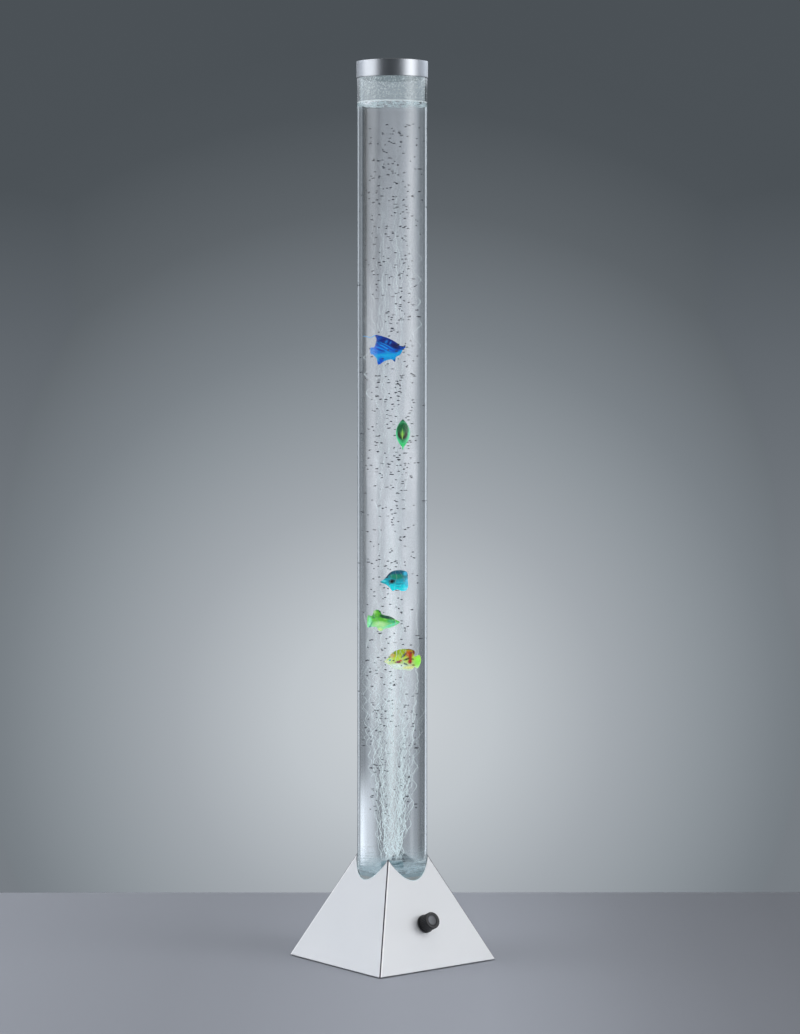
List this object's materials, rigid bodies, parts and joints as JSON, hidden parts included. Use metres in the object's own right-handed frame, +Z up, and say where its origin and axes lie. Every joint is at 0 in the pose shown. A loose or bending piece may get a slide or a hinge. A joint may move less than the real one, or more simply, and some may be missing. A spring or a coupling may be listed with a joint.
{
  "type": "bubble tube floor lamp",
  "caption": "Floor lamp: a clear upright tube of water on a pyramid-shaped metal foot, with a metal cap, drifting plastic fish, air pump, lights and a dimmer knob.",
  "frame": {"origin": "on the floor, under the centre line of the tube", "axes": "+Z up along the tube; the face with the knob looks to -Y and the face with the cord inlet to +Y"},
  "size_m": [0.21, 0.21, 1.28],
  "materials": {
    "satin_steel": "satin",
    "zinc_plate": "satin",
    "black_rubber": "matte",
    "white_plastic": "matte",
    "clear_acrylic": "gloss",
    "air_stone": "matte",
    "white_board": "satin",
    "light_chip": "gloss",
    "cap_metal": "satin",
    "black_knob": "satin",
    "grey_plastic": "matte",
    "filter_felt": "matte",
    "core_iron": "matte",
    "copper_winding": "satin",
    "clear_hose": "satin",
    "green_board": "satin",
    "brass_post": "satin",
    "lead_red": "satin",
    "lead_black": "satin",
    "lead_grey": "satin",
    "blue_fish": "gloss",
    "green_fish": "gloss",
    "cyan_fish": "gloss",
    "lime_fish": "gloss",
    "yellow_fish": "gloss"
  },
  "bodies": {
    "lamp": {"base_cover": "satin_steel", "base_plate": "zinc_plate", "plate_screws": "zinc_plate", "socket_screws": "zinc_plate", "led_board_screws": "zinc_plate", "pump_lid_screws": "zinc_plate", "board_screws": "zinc_plate", "dimmer_washer": "zinc_plate", "dimmer_nut": "zinc_plate", "pump_pin": "zinc_plate", "feet": "black_rubber", "pump_dampers": "black_rubber", "nozzle_seal": "black_rubber", "pump_diaphragm": "black_rubber", "valve_flaps": "black_rubber", "check_valve_bill": "black_rubber", "tube_socket": "white_plastic", "air_nozzle": "white_plastic", "nozzle_nut": "white_plastic", "check_valve": "white_plastic", "valve_block": "white_plastic", "pump_bobbin": "white_plastic", "floor_ring": "white_plastic", "tube": "clear_acrylic", "tube_floor": "clear_acrylic", "bubble_diffuser": "air_stone", "led_board": "white_board", "led_chips": "light_chip", "cord_gland": "black_knob", "gland_nut": "black_knob", "dimmer_body": "grey_plastic", "pump_case": "grey_plastic", "pump_lid": "grey_plastic", "board_parts": "grey_plastic", "air_filter": "filter_felt", "pump_core": "core_iron", "pump_coil": "copper_winding", "lower_hose": "clear_hose", "upper_hose": "clear_hose", "control_board": "green_board", "terminal_block": "green_board", "board_standoffs": "brass_post", "led_lead": "lead_red", "pump_lead": "lead_black", "dimmer_lead": "lead_grey"},
    "knob": {"knob": "black_knob", "dimmer_shaft": "zinc_plate"},
    "cap": {"cap": "cap_metal", "cap_liner": "white_plastic"},
    "pump_arm": {"pump_lever": "zinc_plate", "pump_magnet": "core_iron", "pump_arm_screw": "zinc_plate"},
    "fish_blue": {"fish_blue": "blue_fish"},
    "fish_green": {"fish_green": "green_fish"},
    "fish_cyan": {"fish_cyan": "cyan_fish"},
    "fish_lime": {"fish_lime": "lime_fish"},
    "fish_yellow": {"fish_yellow": "yellow_fish"}
  },
  "joints": [
    {"name": "knob_turn", "type": "hinge", "parent": "lamp", "child": "knob", "pos_m": [-0.003, -0.07764, 0.06], "axis": [0, -0.9058, 0.4237], "range_deg": [-150, 150]},
    {"name": "cap_lift", "type": "slide", "parent": "lamp", "child": "cap", "axis": [0, 0, 1], "range_m": [0, 0.06]},
    {"name": "fish_blue_drift", "type": "slide", "parent": "lamp", "child": "fish_blue", "axis": [0, 0, 1], "range_m": [-0.03, 0.28]},
    {"name": "fish_green_drift", "type": "slide", "parent": "lamp", "child": "fish_green", "axis": [0, 0, 1], "range_m": [-0.09, 0.04]},
    {"name": "fish_cyan_drift", "type": "slide", "parent": "lamp", "child": "fish_cyan", "axis": [0, 0, 1], "range_m": [-0.012, 0.08]},
    {"name": "fish_lime_drift", "type": "slide", "parent": "lamp", "child": "fish_lime", "axis": [0, 0, 1], "range_m": [-0.01, 0.01]},
    {"name": "fish_yellow_drift", "type": "slide", "parent": "lamp", "child": "fish_yellow", "axis": [0, 0, 1], "range_m": [-0.25, 0.01]},
    {"name": "pump_arm_swing", "type": "hinge", "parent": "lamp", "child": "pump_arm", "pos_m": [-0.075, 0, 0.0325], "axis": [0, 1, 0], "range_deg": [-2, 2], "stiffness_Nm_per_rad": 0.3, "springref_deg": -0.23, "deforming": ["pump_diaphragm"]}
  ]
}
